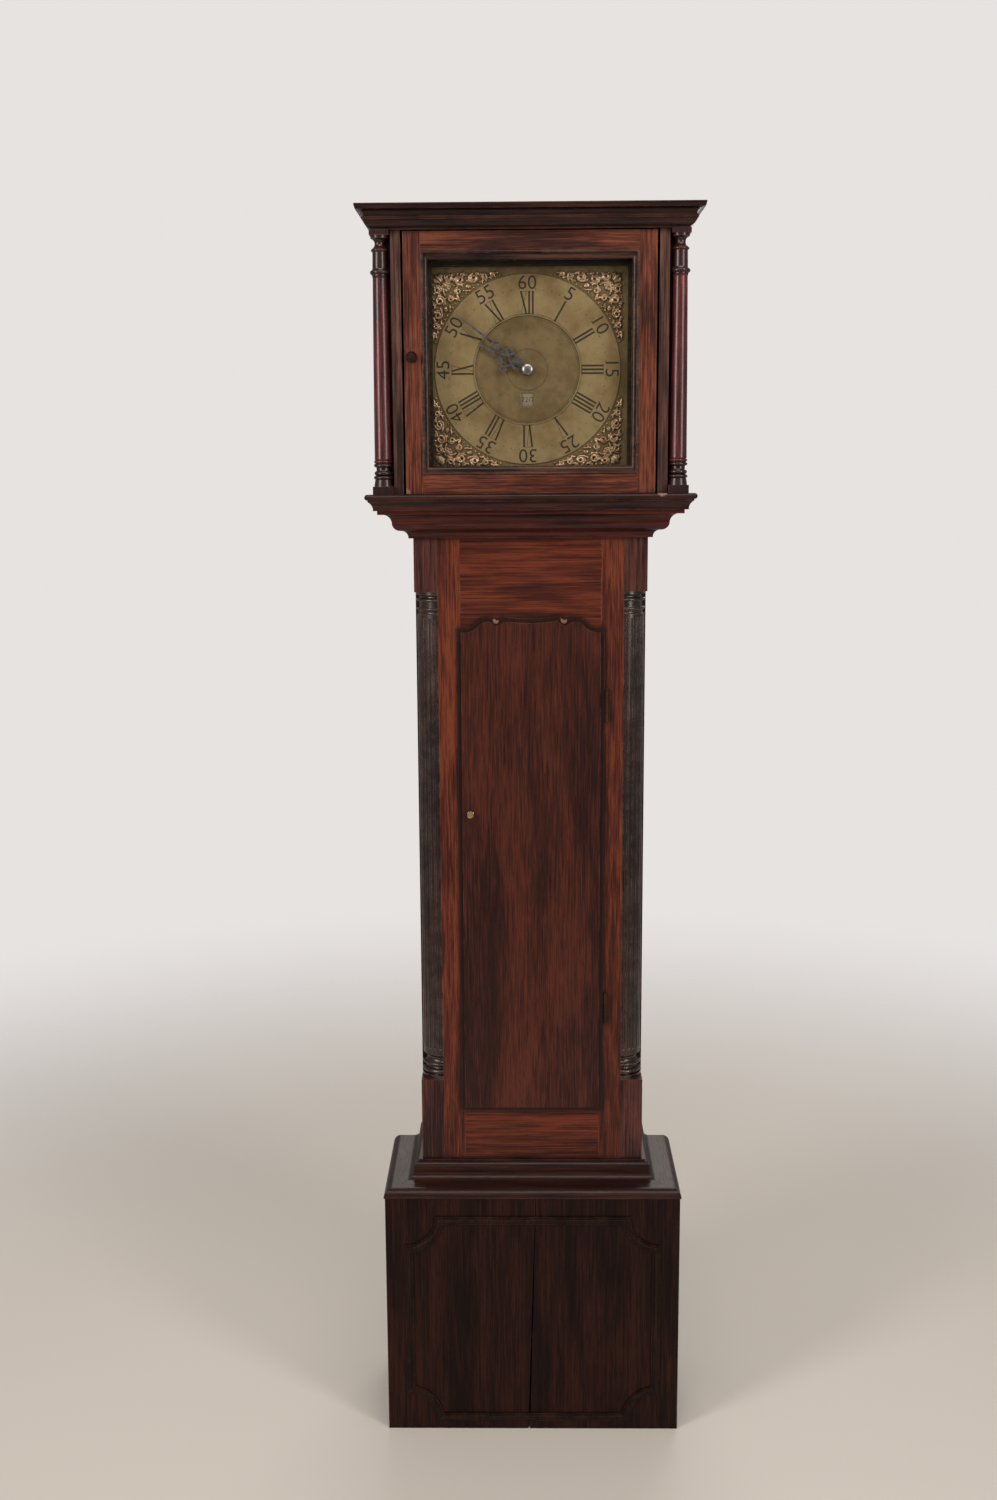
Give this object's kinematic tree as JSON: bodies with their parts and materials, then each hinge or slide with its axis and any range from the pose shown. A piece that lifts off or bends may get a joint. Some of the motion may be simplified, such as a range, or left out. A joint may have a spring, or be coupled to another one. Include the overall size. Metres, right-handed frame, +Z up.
{
  "type": "longcase clock",
  "caption": "Longcase clock with a square brass dial behind a glazed hood door, turned hood columns, quarter-column trunk with a shaped door, panelled base, pendulum and weights.",
  "frame": {"origin": "middle of the overall footprint, on the floor", "axes": "+Z up, -Y towards the viewer in front of the dial, +X to the viewer's right"},
  "size_m": [0.515, 0.2352, 1.97],
  "materials": {
    "dark_oak": "old dark brown polish, nearly black in places",
    "red_oak": "polished reddish brown, worn light at the edges",
    "plain_board": "unpolished board",
    "brass": "satin, slightly tarnished",
    "dial_brass": "old engraved brass with a dull green-brown tarnish",
    "bell_metal": "turned bell metal",
    "steel": "dark blued steel",
    "iron": "plain iron",
    "glass": "old clear pane"
  },
  "bodies": {
    "case": {"base_moulding": "dark_oak", "throat_moulding": "red_oak", "base_front": "dark_oak", "base_panel_moulding": "dark_oak", "base_sides": "dark_oak", "base_bottom_board": "plain_board", "backboard": "plain_board", "trunk_sides": "dark_oak", "trunk_stiles": "red_oak", "trunk_rails": "red_oak", "corner_blocks": "red_oak", "quarter_columns": "red_oak", "seat_board": "plain_board", "trunk_hinge_case_leaves": "brass", "movement_frame": "brass", "dial_plate": "dial_brass", "chapter_ring": "dial_brass", "dial_spandrels": "dial_brass", "back_cock": "brass", "bell": "bell_metal", "bell_stand": "steel", "chain_over_wheels": "steel"},
    "trunk_door_body": {"trunk_door": "dark_oak", "trunk_door_knob": "brass", "trunk_hinge_door_leaves": "brass"},
    "hood": {"hood_cornice": "red_oak", "hood_sides": "red_oak", "hood_front_frame": "red_oak", "hood_top_board": "plain_board", "hood_base_moulding": "red_oak", "hood_column_left": "red_oak", "hood_column_right": "red_oak", "dial_mask": "plain_board", "hood_hinge_frame_leaves": "brass"},
    "hood_door": {"hood_door_frame": "red_oak", "hood_door_moulding": "red_oak", "hood_door_glass": "glass", "hood_door_knob": "red_oak", "hood_hinge_door_leaves": "brass"},
    "minute_body": {"centre_wheel": "brass", "minute_hand": "steel"},
    "hour_body": {"hour_wheel": "brass", "hour_hand": "steel"},
    "date_body": {"date_ring": "dial_brass"},
    "motion_body": {"minute_wheel": "brass"},
    "great_body": {"great_wheel": "brass"},
    "third_body": {"third_wheel": "brass"},
    "escape_body": {"escape_wheel": "brass"},
    "anchor_body": {"anchor": "steel"},
    "pendulum_body": {"pendulum_rod": "steel", "pendulum_bob": "brass"},
    "strike_body": {"strike_great_wheel": "brass"},
    "pin_body": {"pin_wheel": "brass"},
    "fly_body": {"fly": "brass"},
    "hammer_body": {"hammer": "steel"},
    "weight_body": {"drive_weight": "brass", "weight_chain_bend": "steel", "weight_chain": "steel"},
    "ring_body": {"ring_weight": "iron", "slack_chain": "steel"}
  },
  "joints": [
    {"name": "hood_slide", "type": "slide", "parent": "case", "child": "hood", "axis": [0, -1, 0], "range_m": [0, 0.26]},
    {"name": "hood_door_hinge", "type": "hinge", "parent": "hood", "child": "hood_door", "pos_m": [0.184, -0.0857, 1.74], "axis": [0, 0, 1], "range_deg": [0, 110]},
    {"name": "trunk_door_hinge", "type": "hinge", "parent": "case", "child": "trunk_door_body", "pos_m": [0.12, -0.046, 0.968], "axis": [0, 0, 1], "range_deg": [0, 110]},
    {"name": "minute_hand_turn", "type": "hinge", "parent": "case", "child": "minute_body", "pos_m": [-0.004, 0.0229, 1.7353], "axis": [0, 1, 0], "continuous": true},
    {"name": "hour_hand_turn", "type": "hinge", "parent": "case", "child": "hour_body", "pos_m": [-0.004, 0.0229, 1.7353], "axis": [0, 1, 0], "continuous": true},
    {"name": "motion_turn", "type": "hinge", "parent": "case", "child": "motion_body", "pos_m": [-0.02606, 0.0229, 1.71324], "axis": [0, 1, 0], "continuous": true},
    {"name": "great_turn", "type": "hinge", "parent": "case", "child": "great_body", "pos_m": [0.0345, 0.0229, 1.7157], "axis": [0, 1, 0], "continuous": true},
    {"name": "third_turn", "type": "hinge", "parent": "case", "child": "third_body", "pos_m": [0.01302, 0.0229, 1.76473], "axis": [0, 1, 0], "continuous": true},
    {"name": "escape_turn", "type": "hinge", "parent": "case", "child": "escape_body", "pos_m": [-0.004, 0.0229, 1.7874], "axis": [0, 1, 0], "continuous": true},
    {"name": "date_turn", "type": "hinge", "parent": "case", "child": "date_body", "pos_m": [-0.004, 0.0229, 1.7353], "axis": [0, 1, 0], "continuous": true},
    {"name": "pendulum_swing", "type": "hinge", "parent": "case", "child": "pendulum_body", "pos_m": [-0.004, 0.0819, 1.8159], "axis": [0, 1, 0], "range_deg": [-2.5, 2.5]},
    {"name": "anchor_swing", "type": "hinge", "parent": "case", "child": "anchor_body", "pos_m": [-0.004, 0.0229, 1.8159], "axis": [0, 1, 0], "range_deg": [-2.5, 2.5]},
    {"name": "strike_turn", "type": "hinge", "parent": "case", "child": "strike_body", "pos_m": [-0.0425, 0.0229, 1.7157], "axis": [0, 1, 0], "continuous": true},
    {"name": "pin_turn", "type": "hinge", "parent": "case", "child": "pin_body", "pos_m": [-0.0345, 0.0229, 1.75571], "axis": [0, 1, 0], "continuous": true},
    {"name": "fly_turn", "type": "hinge", "parent": "case", "child": "fly_body", "pos_m": [-0.0395, 0.0229, 1.78362], "axis": [0, 1, 0], "continuous": true},
    {"name": "hammer_swing", "type": "hinge", "parent": "case", "child": "hammer_body", "pos_m": [-0.066, 0.0229, 1.7653], "axis": [0, 1, 0], "range_deg": [-14, 0]},
    {"name": "weight_drop", "type": "slide", "parent": "case", "child": "weight_body", "axis": [0, 0, -1], "range_m": [-0.24, 0.55], "deforming": ["weight_chain"]},
    {"name": "ring_rise", "type": "slide", "parent": "case", "child": "ring_body", "axis": [0, 0, 1], "range_m": [-0.24, 0.55], "deforming": ["slack_chain"]}
  ],
  "couplings": [
    {"joint": "hour_hand_turn", "follows": "minute_hand_turn", "ratio": 0.083333},
    {"joint": "motion_turn", "follows": "minute_hand_turn", "ratio": -1},
    {"joint": "great_turn", "follows": "minute_hand_turn", "ratio": -0.2},
    {"joint": "third_turn", "follows": "minute_hand_turn", "ratio": -7.5},
    {"joint": "escape_turn", "follows": "minute_hand_turn", "ratio": 60},
    {"joint": "date_turn", "follows": "minute_hand_turn", "ratio": 0.0013441},
    {"joint": "anchor_swing", "follows": "pendulum_swing", "ratio": 1},
    {"joint": "pin_turn", "follows": "strike_turn", "ratio": -7.5},
    {"joint": "fly_turn", "follows": "strike_turn", "ratio": 60},
    {"joint": "ring_rise", "follows": "weight_drop", "ratio": 1}
  ]
}
